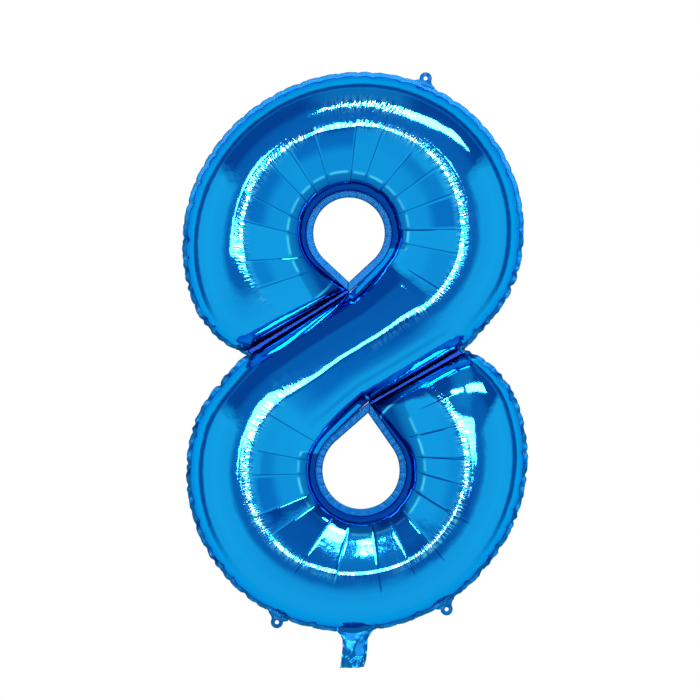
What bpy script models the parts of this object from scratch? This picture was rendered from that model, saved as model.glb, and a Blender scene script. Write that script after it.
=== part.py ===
"""Foil number balloon, figure 8: two sheets of metallised film welded along their edges and blown up.

The gas runs in one S-shaped tube. It starts in the arm at the upper left, goes over the upper lobe, down
the slanting stroke in the middle and round the lower lobe to the arm at the right. Each arm ends against
the stroke in a cross seam, which runs from the notch in the waist to the tip of the teardrop hole.

Metres, +Z up, front face towards -Y. The origin is on the neck's fold line, where a ribbon is tied.
"""

import math

import bmesh
import bpy
import numpy as np
from mathutils import Matrix

# --- Film and clearances ---
FILM = 0.0003  # one sheet, drawn thicker than the real 0.04 mm
GAP = 0.0003  # between neighbouring solids

# --- Lobes, seen from the front ---
LOBE_RADIUS = 0.2535  # mean, from a lobe's centre to the free edge of its seam
LOBE_OVAL = 0.0068  # how much longer and shorter the lobe's two axes are than the mean
LOBE_LEAN = math.radians(30)  # direction of the long axis
LOBE_SPACING = 0.3405  # height of the upper lobe's centre over the lower one's
LOBE_SHIFT = 0.003  # the upper centre is this far left of the middle, the lower one right
THICKNESS = 0.158  # front to back, at the fullest place

# --- Section round a hole, in shares of the way from the hole's weld to the outer weld ---
RIDGE = 0.50  # where the film stands highest
CONE_DROP = 0.5  # the film runs from the ridge towards the hole as a cone, and loses this share of its height
CONE_POWER = 1.15
WALL_POWER = 10  # the higher, the steeper the wall beside the hole

# --- Waist ---
NOTCH_ANGLE = math.radians(-44.5)  # place of the notch on the lobe that flows into the stroke
NOTCH_RADIUS = 0.2375  # from that lobe's centre to the notch
TUCK_ANGLE = math.radians(32)  # the outline draws in to the notch over this angle
ARM_ROUND = math.radians(24)  # rounding of the arm's outer corner
TURN_SHARES = (0.3, 0.9)  # the stroke's sections swing between these shares of a cross seam

# --- Teardrop holes, measured to the free edge of their seam ---
HOLE_SHIFT = (-0.006, 0.0075)  # hole centre from its lobe's centre
UPPER_HOLE_RADIUS = 0.0535
UPPER_TIP_REACH = 0.073  # from the hole's centre to its tip
UPPER_TIP_ANGLE = math.radians(-90)
LOWER_HOLE_RADIUS = 0.0577
LOWER_TIP_REACH = 0.0865
LOWER_TIP_ANGLE = math.radians(-97)

# --- Welded seams ---
OUTER_SEAM = 0.007
HOLE_SEAM = 0.010
CROSS_SEAM = 0.005

# --- Neck and its self-sealing valve ---
NECK_WIDTH = 0.0375
NECK_LENGTH = 0.058
NECK_WELD = 0.003  # width of the neck's welded sides
NECK_BULGE = 0.0018  # the neck's film stands this far from its middle plane
NECK_FLARE = 0.010  # the outer seam runs down beside the neck's root by this much
NECK_FOLD_GAP = 0.0025  # from the fold line to the film above it and below it
VALVE_SIDE_ROOM = 0.00275  # from a valve film's edge to the neck's side weld
VALVE_LEAF = 0.060  # length of the leaves inside the envelope
VALVE_INSET = 0.006  # the valve's film ends this far above the neck's mouth
MOUTH_LIFT = 0.0030  # the envelope's films part by this much each over the neck

# --- Hanging tabs ---
TAB_REACH = 0.0165  # from the fold line to the end
TAB_END_RADIUS = 0.0085
TAB_HOLE_RADIUS = 0.003
TAB_ROOT_WIDTH = 0.026
TAB_FOLD_GAP = 0.0008  # from the fold line to the film on each side
TAB_FLARE_RISE = 0.0008  # height over the root at which the root's flare starts
TAB_END_WRAP = math.radians(15)  # the round end goes on past half a circle by this on each side
TABS = (  # name, on the upper lobe, angle of the root in the lobe's own frame, lean from straight out
    ("top_tab", True, math.radians(65), math.radians(18)),
    ("lower_left_tab", False, math.radians(62.5), math.radians(14)),
    ("lower_right_tab", False, math.radians(122.5), math.radians(-21)),
)

# --- Fineness of the meshes ---
LOOP_STATIONS = 40  # cross-sections round each lobe
STROKE_STATIONS = 6  # in each third of the stroke
ROWS = 10  # steps across the tube
NECK_ROWS = 5  # lines of points down the neck
CURVE_POINTS = 24  # points of a full circle on small pieces


def smooth(value):
    """0 below 0, 1 above 1, and a smooth ramp between."""
    t = min(max(value, 0.0), 1.0)
    return t * t * (3 - 2 * t)


def unit(angle):
    return np.array([math.cos(angle), math.sin(angle)])


def length(vector):
    return float(np.linalg.norm(vector))


def turning_point(start, end, point):
    """The place on a cross seam that faces the other hole's tip, where the stroke's sections start to swing."""
    along = end - start
    share = float(np.dot(point - start, along) / np.dot(along, along))
    return start + along * min(max(share, TURN_SHARES[0]), TURN_SHARES[1])


class Lobe:
    """One loop of the 8. turn is 1 for the upper lobe; the lower one is the same shape turned half a turn,
    and its angles are measured in its own turned frame."""

    def __init__(self, turn, height, hole_radius, tip_reach, tip_angle):
        self.turn = turn
        self.centre = np.array([-LOBE_SHIFT * turn, height])
        self.hole_centre = self.centre + turn * np.array(HOLE_SHIFT)
        self.hole_radius = hole_radius
        self.tip_angle = tip_angle
        self.tip_spread = math.acos(hole_radius / tip_reach)
        self.arm_angle = None
        self.arm_radius = None

    def own_angle(self, point, about):
        x, z = self.turn * (point - about)
        return math.atan2(z, x)

    def outline_radius(self, angle):
        """Radius of the outer free edge, drawn in to the notch at one end and to the arm's corner at the other."""
        radius = LOBE_RADIUS + LOBE_OVAL * math.cos(2 * (angle - LOBE_LEAN))
        tuck = smooth((NOTCH_ANGLE + TUCK_ANGLE - angle) / TUCK_ANGLE)
        radius += (NOTCH_RADIUS - radius) * tuck
        if self.arm_angle is not None:
            corner = max(0.0, 1 - (self.arm_angle - angle) / ARM_ROUND) ** 2
            radius += (self.arm_radius - radius) * corner
        return radius

    def outline(self, angle, inset=0.0):
        return self.centre + self.turn * (self.outline_radius(angle) - inset) * unit(angle)

    def hole_edge(self, angle, outset=0.0):
        """A teardrop: a circle, and its two tangents up to the tip."""
        off_tip = abs(math.remainder(angle - self.tip_angle, math.tau))
        radius = (self.hole_radius + outset) / math.cos(max(0.0, self.tip_spread - off_tip))
        return self.hole_centre + self.turn * radius * unit(angle)

    def notch(self):
        return self.outline(NOTCH_ANGLE)

    def meet(self, other):
        """Ends this lobe's arm at the other lobe's notch."""
        offset = other.notch() - self.centre
        self.arm_angle = self.own_angle(other.notch(), self.centre) % math.tau
        self.arm_radius = length(offset)


BOTTOM_ANGLE = math.pi / 2  # straight down, in the lower lobe's turned frame


def make_lobes():
    """The lower lobe stands so that its weld line passes just over the origin."""
    lower = Lobe(-1, 0.0, LOWER_HOLE_RADIUS, LOWER_TIP_REACH, LOWER_TIP_ANGLE)
    lowest = -(lower.outline_radius(BOTTOM_ANGLE) - OUTER_SEAM)
    height = NECK_FOLD_GAP - lowest
    lower = Lobe(-1, height, LOWER_HOLE_RADIUS, LOWER_TIP_REACH, LOWER_TIP_ANGLE)
    upper = Lobe(1, height + LOBE_SPACING, UPPER_HOLE_RADIUS, UPPER_TIP_REACH, UPPER_TIP_ANGLE)
    upper.meet(lower)
    lower.meet(upper)
    return upper, lower


def angle_clear_of(line, offset, edge, start, end):
    """The angle between start and end at which the edge comes to lie offset away from the line."""
    origin, direction = line
    normal = np.array([-direction[1], direction[0]])
    near, far = start, end
    for _ in range(40):
        middle = (near + far) / 2
        if abs(float(np.dot(edge(middle) - origin, normal))) < offset:
            near = middle
        else:
            far = middle
    return far


def loop_half(lobe, other, extra_angles=()):
    """One lobe's stations from its arm's end to its notch: the weld and free edges outside and at the hole."""
    tip = lobe.hole_edge(lobe.tip_angle, HOLE_SEAM)
    notch = other.notch()
    direction = (tip - notch) / length(tip - notch)
    line = (notch, direction)
    half = CROSS_SEAM / 2
    arm = angle_clear_of(
        line, half, lambda a: lobe.outline(a, OUTER_SEAM), lobe.arm_angle, lobe.arm_angle - 0.3
    )
    tip_start = lobe.tip_angle + math.tau
    hole_start = angle_clear_of(
        line, half, lambda a: lobe.hole_edge(a, HOLE_SEAM), tip_start, tip_start - 0.6
    )
    hole_end = lobe.tip_angle + lobe.tip_spread
    shares = list(np.linspace(0, 1, LOOP_STATIONS + 1))
    shares += [(arm - a) / (arm - NOTCH_ANGLE) for a in extra_angles]
    stations = []
    for share in sorted(shares):
        outer = arm + (NOTCH_ANGLE - arm) * share
        early = (hole_start - arm) * (1 - share) ** 4
        late = (hole_end - NOTCH_ANGLE) * share**4
        inner = outer + early + late
        stations.append(
            {
                "weld": lobe.outline(outer, OUTER_SEAM),
                "free": lobe.outline(outer),
                "hole_weld": lobe.hole_edge(inner, HOLE_SEAM),
                "hole_free": lobe.hole_edge(inner),
            }
        )
    return stations


def stroke_corners(lobe, other):
    """The ends of a cross seam on the stroke's side: at the lobe's hole tip, and at the other lobe's notch."""
    tip = lobe.hole_edge(lobe.tip_angle, HOLE_SEAM)
    notch = other.notch()
    along = (notch - tip) / length(notch - tip)
    across = np.array([along[1], -along[0]]) * CROSS_SEAM / 2
    if np.dot(across, other.centre - lobe.centre) < 0:
        across = -across
    return tip + across, other.outline(NOTCH_ANGLE, OUTER_SEAM)


def steps(start, end, count):
    """Points after start, up to and including end."""
    return [start + (end - start) * i / count for i in range(1, count + 1)]


def build_stations(upper, lower):
    """Every cross-section of the S-shaped tube in order, as its two ends in the front view, and the
    station numbers at which the loops end."""
    neck_half = NECK_WIDTH / 2
    mouth = [
        BOTTOM_ANGLE + side * share * math.asin(neck_half / LOBE_RADIUS) - LOBE_SHIFT / LOBE_RADIUS
        for side, share in ((-1, 1), (-1, 0.6), (-1, 0.2), (1, 0.2), (1, 0.6), (1, 1))
    ]
    top, bottom = loop_half(upper, lower), loop_half(lower, upper, mouth)
    upper_tip, lower_notch = stroke_corners(upper, lower)
    lower_tip, upper_notch = stroke_corners(lower, upper)
    right_turn = turning_point(upper_notch, lower_tip, upper_tip)
    left_turn = turning_point(lower_notch, upper_tip, lower_tip)
    left = [s["weld"] for s in top]
    right = [s["hole_weld"] for s in top]
    n = STROKE_STATIONS
    left += steps(left[-1], right_turn, n) + steps(right_turn, lower_tip, n)
    right += steps(right[-1], upper_tip, n) + steps(upper_tip, left_turn, n)
    bottom.reverse()
    left += steps(lower_tip, bottom[0]["hole_weld"], n) + [s["hole_weld"] for s in bottom[1:]]
    right += steps(left_turn, bottom[0]["weld"], n) + [s["weld"] for s in bottom[1:]]
    ends = (len(top) - 1, len(top) - 1 + 3 * n)
    return np.array(left), np.array(right), ends, top, bottom


def flat_grid(left, right):
    """Points across every station, closer together near the seams, a clearance inside the weld line."""
    across = right - left
    widths = np.linalg.norm(across, axis=1, keepdims=True)
    inward = across / widths * GAP
    shares = (1 - np.cos(np.pi * np.arange(ROWS + 1) / ROWS)) / 2
    start, end = left + inward, right - inward
    grid = start[:, None, :] + (end - start)[:, None, :] * shares[None, :, None]
    for edge, inner in ((0, 1), (-1, -2)):
        step = grid[inner] - grid[edge]
        grid[edge] += step * (GAP / np.linalg.norm(step, axis=1, keepdims=True))
    return grid


def swell(grid):
    """Height of the blown-up film over each grid point.

    The film's height squared is the solution of Poisson's equation over the tube's plan, held at zero on
    the seams. It gives a round section on a straight tube and a pillow end at a cross seam. The load
    grows towards the outside of a bend, where the film has more fullness."""
    stations, rows = grid.shape[:2]
    number = np.arange(stations * rows).reshape(stations, rows)
    points = grid.reshape(-1, 2)
    hoop = np.linalg.norm(np.diff(grid, axis=0), axis=2)
    load = (hoop / hoop.mean(axis=1, keepdims=True)) ** 2
    load = np.vstack([load[:1], (load[1:] + load[:-1]) / 2, load[-1:]]).reshape(-1)
    a, b = number[:-1, :-1].ravel(), number[1:, :-1].ravel()
    c, d = number[1:, 1:].ravel(), number[:-1, 1:].ravel()
    stiffness = np.zeros((points.shape[0], points.shape[0]))
    force = np.zeros(points.shape[0])
    for corners in ((a, b, c), (a, c, d), (a, b, d), (b, c, d)):
        p = [points[k] for k in corners]
        edges = [p[2] - p[1], p[0] - p[2], p[1] - p[0]]
        area = np.abs(edges[0][:, 0] * edges[1][:, 1] - edges[0][:, 1] * edges[1][:, 0]) / 2
        for i in range(3):
            np.add.at(force, corners[i], area / 6)
            for j in range(3):
                value = (edges[i] * edges[j]).sum(axis=1) / (8 * area)
                np.add.at(stiffness, (corners[i], corners[j]), value)
    inside = number[1:-1, 1:-1].ravel()
    height = np.zeros(points.shape[0])
    height[inside] = np.linalg.solve(
        stiffness[np.ix_(inside, inside)], (force * load)[inside]
    )
    height = np.sqrt(np.maximum(height, 0)).reshape(stations, rows)
    height *= section_shape(stations, rows)
    return height * (THICKNESS / 2 / height.max())


def section_shape(stations, rows):
    """What the tube's round section is multiplied by. Round a hole the film has a steep wall and a flat cone."""
    share = (1 - np.cos(np.pi * np.arange(rows) / (rows - 1))) / 2
    shape = np.ones((stations, rows))
    stroke_start = LOOP_STATIONS
    stroke_end = stroke_start + 3 * STROKE_STATIONS
    for station in range(stations):
        to_bottom = smooth((station - stroke_start) / STROKE_STATIONS - 1)
        hole_share = share * to_bottom + (1 - share) * (1 - to_bottom)
        into = smooth((station - stroke_start) / STROKE_STATIONS + 0.4)
        out = smooth((stroke_end - station) / STROKE_STATIONS + 0.4)
        inward = np.clip((RIDGE - hole_share) / RIDGE, 0, 1)
        outward = np.clip((hole_share - RIDGE) / (1 - RIDGE), 0, 1)
        cone = (1 - CONE_DROP * inward**CONE_POWER) * np.sqrt((1 - inward**WALL_POWER) * (1 - outward**2))
        ratio = cone[1:-1] / np.sqrt(4 * share[1:-1] * (1 - share[1:-1]))
        shape[station, 1:-1] = 1 + (1 - into * out) * (ratio - 1)
    return shape


def film_edge(grid):
    """How far each film stands off the middle plane at its edge: a clearance, and the neck's parted mouth."""
    half = NECK_WIDTH / 2
    share = np.clip(1 - (grid[..., 0] / half) ** 2, 0, 1)
    depth = grid[..., 1] - grid[..., 1].min()
    fade = np.clip(1 - depth / half, 0, 1)
    return GAP + MOUTH_LIFT * np.sqrt(share) * fade


# --- Objects ---


def clear_scene():
    for obj in list(bpy.data.objects):
        bpy.data.objects.remove(obj)


def new_collection(name):
    collection = bpy.data.collections.new(name)
    bpy.context.scene.collection.children.link(collection)
    return collection


def new_material(name, colour, metallic, roughness, alpha=1.0):
    material = bpy.data.materials.new(name)
    material.use_nodes = True
    shader = material.node_tree.nodes["Principled BSDF"]
    shader.inputs["Base Color"].default_value = (*colour, 1)
    shader.inputs["Metallic"].default_value = metallic
    shader.inputs["Roughness"].default_value = roughness
    shader.inputs["Alpha"].default_value = alpha
    return material


def add_object(name, data, collection, material, parent=None):
    obj = bpy.data.objects.new(name, data)
    collection.objects.link(obj)
    data.materials.append(material)
    if parent:
        obj.parent = parent
        obj.matrix_parent_inverse = parent.matrix_world.inverted()
    return obj


def add_solidify(obj, thickness, offset):
    solidify = obj.modifiers.new("Film", "SOLIDIFY")
    solidify.thickness = thickness
    solidify.offset = offset
    solidify.use_rim = True


def sheet_mesh(name, points):
    """A surface through a grid of points, its faces turned to the side the grid's winding gives."""
    stations, rows = points.shape[:2]
    bm = bmesh.new()
    grid = [[bm.verts.new(points[i, j]) for j in range(rows)] for i in range(stations)]
    for i in range(stations - 1):
        for j in range(rows - 1):
            bm.faces.new((grid[i][j], grid[i][j + 1], grid[i + 1][j + 1], grid[i + 1][j]))
    mesh = bpy.data.meshes.new(name)
    bm.to_mesh(mesh)
    bm.free()
    mesh.shade_smooth()
    return mesh


def add_sheet(name, points, collection, material, parent=None):
    """A film of one thickness whose outer face lies on the points."""
    obj = add_object(name, sheet_mesh(name, points), collection, material, parent)
    add_solidify(obj, FILM, -1)
    return obj


def band_mesh(name, side_a, side_b, closed):
    """A flat band in the middle plane between two lines of points."""
    bm = bmesh.new()
    a = [bm.verts.new((p[0], 0, p[1])) for p in side_a]
    b = [bm.verts.new((p[0], 0, p[1])) for p in side_b]
    count = len(a)
    for i in range(count if closed else count - 1):
        k = (i + 1) % count
        bm.faces.new((a[i], a[k], b[k], b[i]))
    bmesh.ops.remove_doubles(bm, verts=bm.verts, dist=1e-5)
    bmesh.ops.recalc_face_normals(bm, faces=bm.faces)
    mesh = bpy.data.meshes.new(name)
    bm.to_mesh(mesh)
    bm.free()
    return mesh


def add_weld(name, side_a, side_b, collection, material, closed=False, parent=None):
    """A weld: both sheets as one flat band, two films thick."""
    obj = add_object(name, band_mesh(name, side_a, side_b, closed), collection, material, parent)
    add_solidify(obj, 2 * FILM, 0)
    return obj


def add_pivot(name, place, collection, turn=0.0):
    """An empty on a fold line. Its X axis is the line."""
    pivot = bpy.data.objects.new(name, None)
    pivot.empty_display_size = 0.01
    pivot.location = place
    pivot.rotation_euler = (0, turn, 0)
    collection.objects.link(pivot)
    bpy.context.view_layer.update()
    return pivot


# --- Envelope ---


def build_foils(left, right, collection, foil):
    """The front and back sheets, blown up over the S-shaped tube."""
    grid = flat_grid(left, right)
    rise = swell(grid) + film_edge(grid)
    for name, side in (("front_foil", -1), ("back_foil", 1)):
        points = np.stack([grid[..., 0], side * rise, grid[..., 1]], axis=-1)
        if side < 0:
            points = points[::-1]
        add_sheet(name, points, collection, foil)


def seam_sides(stations, keys):
    return [[s[key] for s in stations] for key in keys]


def pulled_in(points_a, points_b, gap):
    """The two lines of a band shortened by gap at both ends."""
    sides = []
    for side in (points_a, points_b):
        side = [np.array(p) for p in side]
        along = side[-1] - side[0]
        step = along / length(along) * gap
        sides.append([side[0] + step, *side[1:-1], side[-1] - step])
    return sides


def build_seams(top, bottom, left, right, ends, collection, weld):
    """The welds: the outer edge, the two hole edges and the two cross seams."""
    loop_end, stroke_end = ends
    lower_up = bottom[::-1]
    for name, stations, tangent in (
        ("upper_hole_seam", top, right[loop_end : loop_end + STROKE_STATIONS + 1]),
        ("lower_hole_seam", lower_up, left[stroke_end - STROKE_STATIONS : stroke_end + 1][::-1]),
    ):
        lobe = UPPER if stations is top else LOWER
        welds, frees = seam_sides(stations, ("hole_weld", "hole_free"))
        tangent_end = lobe.tip_angle + lobe.tip_spread
        for step, point in enumerate(tangent[1:], 1):
            share = step / (len(tangent) - 1)
            welds.append(point)
            frees.append(lobe.hole_edge(tangent_end + (lobe.tip_angle - tangent_end) * share))
        frees[0] = lobe.hole_edge(lobe.tip_angle)
        add_weld(name, welds, frees, collection, weld, closed=True)

    free, inner = outer_seam_sides(top, bottom)
    add_weld("outer_seam", free, inner, collection, weld)

    upper_tip_side, lower_tip_side = right[loop_end + STROKE_STATIONS], left[stroke_end - STROKE_STATIONS]
    for name, arm, tip_side, notch_side in (
        ("left_cross_seam", top[0], upper_tip_side, right[stroke_end]),
        ("right_cross_seam", lower_up[0], lower_tip_side, left[loop_end]),
    ):
        side_a, side_b = pulled_in(
            [arm["weld"], arm["hole_weld"]], [notch_side, tip_side], GAP
        )
        add_weld(name, side_a, side_b, collection, weld)


def outer_seam_sides(top, bottom):
    """Free edge and weld line from the neck's right side, round the whole 8, to its left side."""
    half = NECK_WIDTH / 2 + GAP
    right_run = [s for s in bottom if s["free"][0] > half]
    left_run = [s for s in bottom if s["free"][0] < -half]
    ordered = right_run + top[::-1] + left_run
    free, inner = [], []
    for s in ordered:
        edge = np.array(s["free"])
        if edge[1] < LOWER.centre[1]:
            from_neck = (abs(edge[0]) - half) / NECK_FLARE
            edge[1] -= NECK_FLARE * max(0.0, 1 - from_neck) ** 2
        free.append(edge)
        inner.append(np.array(s["weld"]))
    return free, inner


# --- Neck and valve ---


def arched_film(width, bottom, top, side, bulge, edge):
    """A grid of points over a film that arches forwards or backwards between its sides."""
    turns = np.linspace(0, math.pi, CURVE_POINTS // 2)
    xs = -width / 2 * np.cos(turns)
    zs = np.linspace(bottom, top, NECK_ROWS)
    points = np.zeros((len(zs), len(xs), 3))
    arch = edge + (bulge - edge) * np.sin(turns)
    points[..., 0] = xs[None, :]
    points[..., 1] = side * arch[None, :]
    points[..., 2] = zs[:, None]
    return points if side > 0 else points[:, ::-1]


def build_neck(collection, foil, weld, valve):
    """The tail: two arched films, their welded sides, and the valve's lower half between them."""
    fold = add_pivot("neck_fold", (0, 0, 0), collection)
    top, bottom = -NECK_FOLD_GAP, -NECK_LENGTH
    film_width = NECK_WIDTH - 2 * NECK_WELD - 2 * GAP
    for name, side in (("neck_front_film", -1), ("neck_back_film", 1)):
        points = arched_film(film_width, bottom, top, side, NECK_BULGE, FILM + GAP / 2)
        add_sheet(name, points, collection, foil, fold)
    for name, side in (("neck_left_weld", -1), ("neck_right_weld", 1)):
        near, far = side * (NECK_WIDTH / 2 - NECK_WELD), side * NECK_WIDTH / 2
        add_weld(
            name,
            [(near, bottom), (near, top)],
            [(far, bottom), (far, top)],
            collection,
            weld,
            parent=fold,
        )
    valve_bottom = bottom + VALVE_INSET
    for name, side in (("valve_front_sleeve", -1), ("valve_back_sleeve", 1)):
        add_valve_film(name, side, valve_bottom, top, collection, valve, fold)


def add_valve_film(name, side, bottom, top, collection, material, parent):
    """A flat strip of clear film beside the middle plane."""
    half = NECK_WIDTH / 2 - NECK_WELD - VALVE_SIDE_ROOM
    mesh = band_mesh(name, [(-half, bottom), (-half, top)], [(half, bottom), (half, top)], False)
    mesh.transform(Matrix.Translation((0, side * (FILM + GAP) / 2, 0)))
    film = add_object(name, mesh, collection, material, parent)
    add_solidify(film, FILM, 0)
    return film


def build_valve_leaves(collection, valve):
    """The valve's upper half: two leaves that the gas presses shut and a straw pushes apart."""
    root = NECK_FOLD_GAP / 2
    for name, side in (("valve_front_leaf", -1), ("valve_back_leaf", 1)):
        pivot = add_pivot(f"{name}_pivot", (0, side * (FILM + GAP) / 2, root), collection)
        add_valve_film(name, side, root, root + VALVE_LEAF, collection, valve, pivot)


# --- Hanging tabs ---


def tab_outline(lean):
    """A flared root on the X axis and a round end, leaning by an angle from +Y."""
    end = (TAB_REACH - TAB_END_RADIUS) * np.array([-math.sin(lean), math.cos(lean)])
    start = TAB_FOLD_GAP
    outline = []
    turns = np.linspace(-TAB_END_WRAP, math.pi + TAB_END_WRAP, CURVE_POINTS)
    for turn in turns:
        outline.append(end + TAB_END_RADIUS * unit(turn + lean))
    waist_left, waist_right = outline[-1], outline[0]
    root_left = np.array([-TAB_ROOT_WIDTH / 2, start])
    root_right = np.array([TAB_ROOT_WIDTH / 2, start])
    for waist, root, first in ((waist_left, root_left, False), (waist_right, root_right, True)):
        control = np.array([waist[0], start + TAB_FLARE_RISE])
        curve = [
            (1 - t) ** 2 * waist + 2 * t * (1 - t) * control + t * t * root
            for t in (0.25, 0.5, 0.75, 1)
        ]
        outline = curve[::-1] + outline if first else outline + curve
    return outline, end


def add_poly_spline(curve, points):
    spline = curve.splines.new("POLY")
    spline.points.add(len(points) - 1)
    for target, point in zip(spline.points, points):
        target.co = (point[0], point[1], 0, 1)
    spline.use_cyclic_u = True


def build_tabs(collection, weld):
    """Welded tabs on the outer seam, each with a punched hole for a ribbon."""
    for name, on_upper, angle, lean in TABS:
        lobe = UPPER if on_upper else LOWER
        place = lobe.outline(angle, -TAB_FOLD_GAP)
        ahead, behind = lobe.outline(angle - 0.02), lobe.outline(angle + 0.02)
        tangent = ahead - behind
        turn = -math.atan2(tangent[1], tangent[0])
        pivot = add_pivot(f"{name}_fold", (place[0], 0, place[1]), collection, turn)
        outline, end = tab_outline(lean)
        curve = bpy.data.curves.new(name, "CURVE")
        curve.dimensions = "2D"
        curve.fill_mode = "BOTH"
        curve.extrude = FILM
        add_poly_spline(curve, outline)
        circle = [end + TAB_HOLE_RADIUS * unit(math.tau * i / CURVE_POINTS) for i in range(CURVE_POINTS)]
        add_poly_spline(curve, circle)
        tab = add_object(name, curve, collection, weld)
        tab.parent = pivot
        tab.rotation_euler = (math.pi / 2, 0, 0)


clear_scene()
UPPER, LOWER = make_lobes()
balloon = new_collection("foil_number_balloon")
foil_blue = new_material("blue_foil", (0.0, 0.27, 0.78), 1.0, 0.12)
weld_blue = new_material("welded_blue_foil", (0.0, 0.22, 0.66), 1.0, 0.25)
valve_film = new_material("clear_valve_film", (0.85, 0.88, 0.9), 0.0, 0.35, 0.5)

left_edge, right_edge, loop_ends, top_stations, bottom_stations = build_stations(UPPER, LOWER)
build_foils(left_edge, right_edge, balloon, foil_blue)
build_seams(top_stations, bottom_stations, left_edge, right_edge, loop_ends, balloon, weld_blue)
build_neck(balloon, foil_blue, weld_blue, valve_film)
build_valve_leaves(balloon, valve_film)
build_tabs(balloon, weld_blue)
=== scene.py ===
import math
import random

import bpy
import numpy as np
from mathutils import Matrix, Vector


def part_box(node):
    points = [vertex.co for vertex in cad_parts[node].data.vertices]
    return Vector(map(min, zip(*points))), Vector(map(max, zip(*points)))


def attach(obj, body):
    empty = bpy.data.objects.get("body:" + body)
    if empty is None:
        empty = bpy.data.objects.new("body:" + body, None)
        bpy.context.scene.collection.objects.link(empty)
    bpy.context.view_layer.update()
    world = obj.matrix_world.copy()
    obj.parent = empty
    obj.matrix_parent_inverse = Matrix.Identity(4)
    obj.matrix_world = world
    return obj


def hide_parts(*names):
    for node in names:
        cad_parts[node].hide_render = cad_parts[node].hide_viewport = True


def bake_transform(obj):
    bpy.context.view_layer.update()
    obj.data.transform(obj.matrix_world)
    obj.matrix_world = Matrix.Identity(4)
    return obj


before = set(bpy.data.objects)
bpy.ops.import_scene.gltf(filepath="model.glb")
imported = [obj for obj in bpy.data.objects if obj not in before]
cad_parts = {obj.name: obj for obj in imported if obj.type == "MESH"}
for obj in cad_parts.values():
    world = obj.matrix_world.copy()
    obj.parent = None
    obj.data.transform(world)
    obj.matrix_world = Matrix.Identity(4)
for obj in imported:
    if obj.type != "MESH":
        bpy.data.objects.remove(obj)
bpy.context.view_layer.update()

bpy.ops.object.select_all(action="DESELECT")

# --- Camera ---
# A long lens, level with the balloon's waist and square to its front, set a little left of its middle.
seam_low, seam_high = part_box("outer_seam")
middle_z = (seam_low[2] + seam_high[2]) / 2
waist = Vector((0.0, 0.0, middle_z))
CAMERA_DISTANCE = 4.0
VIEW_WIDTH = 1.05
SENSOR = 36.0
SET_LEFT = 0.0075
SET_UP = 0.005
camera = bpy.data.objects.new("camera", bpy.data.cameras.new("camera"))
bpy.context.scene.collection.objects.link(camera)
camera.data.sensor_width = SENSOR
camera.data.lens = SENSOR * CAMERA_DISTANCE / VIEW_WIDTH
camera.location = waist + Vector((-SET_LEFT, -CAMERA_DISTANCE, SET_UP))
camera.rotation_euler = (math.pi / 2, 0, 0)
bpy.context.scene.camera = camera

# --- Studio ---
# A round pale floor that fades to white at its rim and is clear from below, soft lamps in front and behind,
# and an even white room. The foil mirrors the room's bands of light and shade, and doesn't mirror the floor.
FLOOR_Z = -0.35
FLOOR_RADIUS = 2.6
FLOOR_PALE = (0.80, 0.80, 0.80, 1)
FLOOR_FADE = (0.5, 1.7)  # it fades to white between these distances from its middle
WHITE = (1, 1, 1, 1)


def fade(tree, source, start, end):
    """A smooth step from 0 at start to 1 at end."""
    node = tree.nodes.new("ShaderNodeMapRange")
    node.interpolation_type = "SMOOTHSTEP"
    node.inputs["From Min"].default_value = start
    node.inputs["From Max"].default_value = end
    tree.links.new(source, node.inputs["Value"])
    return node.outputs["Result"]


def combine(tree, operation, *values):
    """A sum with numbers or sockets."""
    node = tree.nodes.new("ShaderNodeMath")
    node.operation = operation
    for slot, value in enumerate(values):
        if isinstance(value, float):
            node.inputs[slot].default_value = value
        else:
            tree.links.new(value, node.inputs[slot])
    return node.outputs["Value"]


def shades(tree, source, stops, colour=lambda shade: (shade, shade, shade, 1)):
    """A ramp of shades, each given by its place from 0 to 1 and its lightness."""
    node = tree.nodes.new("ShaderNodeValToRGB")
    while len(node.color_ramp.elements) < len(stops):
        node.color_ramp.elements.new(0.5)
    for element, (place, shade) in zip(node.color_ramp.elements, stops):
        element.position = place
        element.color = colour(shade)
    tree.links.new(source, node.inputs["Fac"])
    return node.outputs["Color"]


def mixed(tree, share, first, second):
    """The first colour where share is 0 and the second where it is 1, each a colour or a socket."""
    node = tree.nodes.new("ShaderNodeMix")
    node.data_type = "RGBA"
    tree.links.new(share, node.inputs["Factor"])
    for slot, value in (("A", first), ("B", second)):
        if isinstance(value, tuple):
            node.inputs[slot].default_value = value
        else:
            tree.links.new(value, node.inputs[slot])
    return node.outputs["Result"]


def either_shader(tree, share, first, second):
    node = tree.nodes.new("ShaderNodeMixShader")
    for slot, value in enumerate((share, first, second)):
        tree.links.new(value, node.inputs[slot])
    return node.outputs[0]


bpy.ops.mesh.primitive_circle_add(
    vertices=96, radius=FLOOR_RADIUS, fill_type="NGON", location=(0, 0, FLOOR_Z)
)
floor = bpy.context.object
floor.name = "studio_floor"
floor.visible_glossy = False
floor_paint = bpy.data.materials.new("pale_floor")
floor_paint.use_nodes = True
floor_tree = floor_paint.node_tree
floor_shader = floor_tree.nodes["Principled BSDF"]
floor_shader.inputs["Base Color"].default_value = FLOOR_PALE
floor_shader.inputs["Roughness"].default_value = 0.9
floor_place = floor_tree.nodes.new("ShaderNodeTexCoord")
from_middle = floor_tree.nodes.new("ShaderNodeVectorMath")
from_middle.operation = "LENGTH"
floor_tree.links.new(floor_place.outputs["Object"], from_middle.inputs[0])
floor_white = floor_tree.nodes.new("ShaderNodeEmission")
pale_or_white = either_shader(
    floor_tree,
    fade(floor_tree, from_middle.outputs["Value"], *FLOOR_FADE),
    floor_shader.outputs[0],
    floor_white.outputs[0],
)
floor_clear = floor_tree.nodes.new("ShaderNodeBsdfTransparent")
floor_side = floor_tree.nodes.new("ShaderNodeNewGeometry")
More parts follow.
